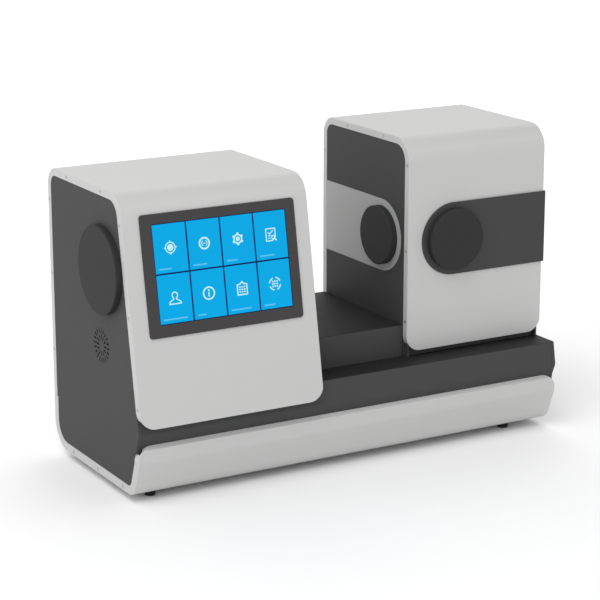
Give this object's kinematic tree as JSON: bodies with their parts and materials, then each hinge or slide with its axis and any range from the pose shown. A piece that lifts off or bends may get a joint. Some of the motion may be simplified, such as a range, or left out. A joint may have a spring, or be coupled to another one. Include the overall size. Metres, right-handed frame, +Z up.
{
  "type": "haze meter",
  "caption": "Benchtop haze meter: a screen cabinet and a measuring-head cabinet on one long base with an open sample gap, pull-off port caps and an integrating sphere.",
  "frame": {"origin": "on the table, under the middle of the whole instrument", "axes": "+X along the base to the right, -Y out of the front, +Z up"},
  "size_m": [0.5896, 0.2512, 0.3832],
  "materials": {
    "pale_shell": "sheet aluminium with a satin light grey powder coat",
    "dark_panel": "sheet aluminium with fine textured dark grey paint",
    "stripe_paint": "satin mid grey paint",
    "band_plastic": "smooth matte dark grey",
    "cap_plastic": "smooth matte near black",
    "bezel_plastic": "matte moulded frame",
    "screen_glass": "lit touch glass",
    "black_plastic": "moulded black",
    "bare_metal": "plated",
    "anodised": "black anodised",
    "sphere_metal": "spun and turned",
    "white_ceramic": "diffuse white",
    "optical_glass": "polished",
    "lamp_glass": "clear envelope",
    "board": "green solder resist",
    "rubber": "moulded black rubber"
  },
  "bodies": {
    "root": {"left_cover": "pale_shell", "right_cover": "pale_shell", "base_tray": "pale_shell", "left_end_panel": "dark_panel", "right_end_panel": "dark_panel", "left_inner_panel": "dark_panel", "right_inner_panel": "dark_panel", "base_body": "dark_panel", "sample_platform": "dark_panel", "right_plinth": "dark_panel", "port_stripe": "stripe_paint", "front_band": "band_plastic", "screen_bezel": "bezel_plastic", "touch_glass": "screen_glass", "screen_module": "black_plastic", "lamp_holder": "black_plastic", "fan_frame": "black_plastic", "switch_housing": "black_plastic", "power_inlet": "black_plastic", "light_exit_ring": "black_plastic", "standard_motor": "black_plastic", "inlet_pins": "bare_metal", "data_socket": "bare_metal", "serial_socket": "bare_metal", "foot_screws": "bare_metal", "board_spacers": "bare_metal", "optical_rail": "anodised", "lamp_heat_sink": "anodised", "condenser_mount": "anodised", "aperture_plate": "anodised", "collimator_tube": "anodised", "tube_clamps": "anodised", "head_bracket": "anodised", "sphere_stand": "anodised", "light_trap": "anodised", "detector_housing": "anodised", "sphere_front_half": "sphere_metal", "sphere_rear_half": "sphere_metal", "haze_port_ring": "sphere_metal", "compensation_port_ring": "sphere_metal", "exit_port_ring": "sphere_metal", "condenser_lens": "optical_glass", "collimator_lens": "optical_glass", "exit_window": "optical_glass", "lamp": "lamp_glass", "power_supply": "board", "main_board": "board", "detector_board": "board", "rubber_feet": "rubber"},
    "lamp_cap": {"lamp_cap": "cap_plastic"},
    "haze_cap": {"haze_port_cap": "cap_plastic"},
    "compensation_cap": {"compensation_port_cap": "cap_plastic"},
    "rocker": {"power_rocker": "black_plastic"},
    "fan": {"fan_rotor": "black_plastic"},
    "standard": {"white_standard": "white_ceramic", "standard_arm": "anodised", "motor_shaft": "bare_metal"}
  },
  "joints": [
    {"name": "lamp_cap_pull", "type": "slide", "parent": "root", "child": "lamp_cap", "axis": [-1, 0, 0], "range_m": [0, 0.06]},
    {"name": "haze_cap_pull", "type": "slide", "parent": "root", "child": "haze_cap", "axis": [-1, 0, 0], "range_m": [0, 0.06]},
    {"name": "compensation_cap_pull", "type": "slide", "parent": "root", "child": "compensation_cap", "axis": [0, -1, 0], "range_m": [0, 0.06]},
    {"name": "power_rock", "type": "hinge", "parent": "root", "child": "rocker", "pos_m": [-0.2192, 0.1166, 0.142], "axis": [1, 0, 0], "range_deg": [0, 20]},
    {"name": "fan_spin", "type": "hinge", "parent": "root", "child": "fan", "pos_m": [-0.2772, -0.0229, 0.169], "axis": [1, 0, 0], "continuous": true},
    {"name": "standard_swing", "type": "hinge", "parent": "root", "child": "standard", "pos_m": [0.2155, -0.0209, 0.2139], "axis": [1, 0, 0], "range_deg": [0, 60]}
  ]
}
